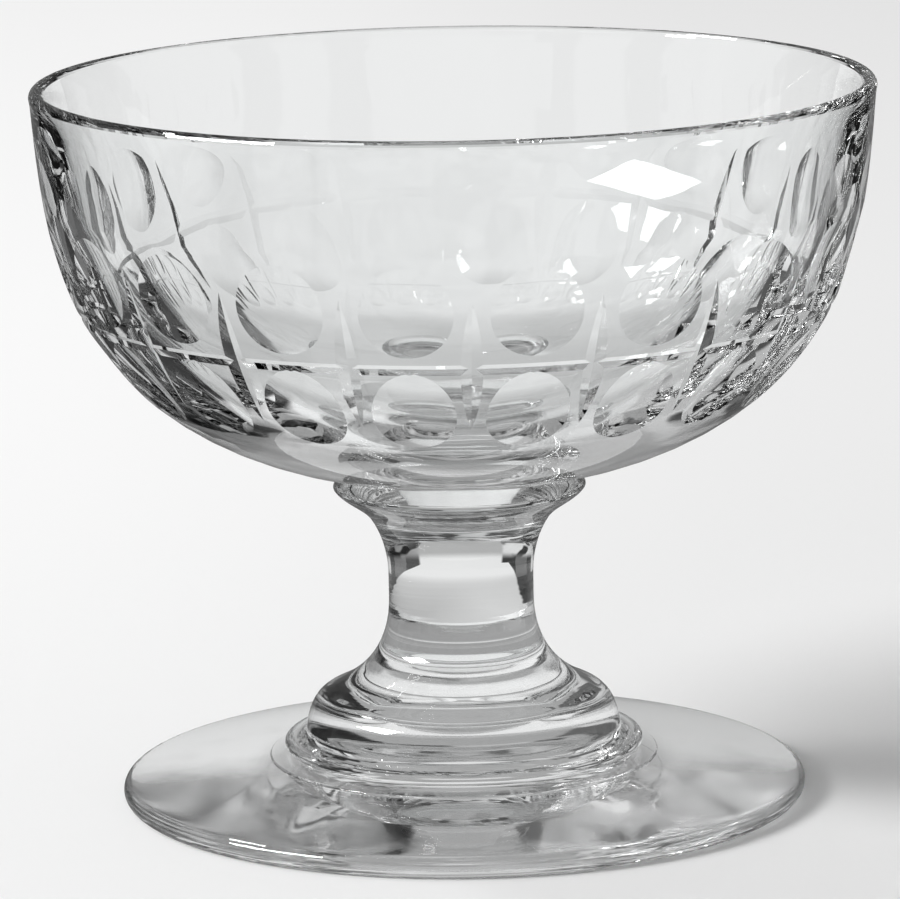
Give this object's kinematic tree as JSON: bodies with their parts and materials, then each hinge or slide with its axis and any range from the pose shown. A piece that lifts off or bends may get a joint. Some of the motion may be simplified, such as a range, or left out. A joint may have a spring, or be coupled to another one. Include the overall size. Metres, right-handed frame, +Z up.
{
  "type": "sherbet glass",
  "caption": "Footed sherbet glass in clear cut glass: round bowl with printies, mitres and a ring cut, collared stem and round foot with a beaded boss.",
  "frame": {"origin": "centre of the foot's underside, at the level it stands on", "axes": "+Z up, along the axis that the glass turns about; -Y towards the viewer"},
  "size_m": [0.095, 0.095, 0.0821],
  "materials": {
    "bowl_glass": "fire-polished, wheel-cut and polished outside",
    "collar_glass": "fire-polished",
    "stem_glass": "fire-polished",
    "foot_glass": "fire-polished, underside lightly worn"
  },
  "bodies": {
    "root": {"bowl": "bowl_glass", "collar": "collar_glass", "stem": "stem_glass", "foot": "foot_glass"}
  },
  "joints": []
}
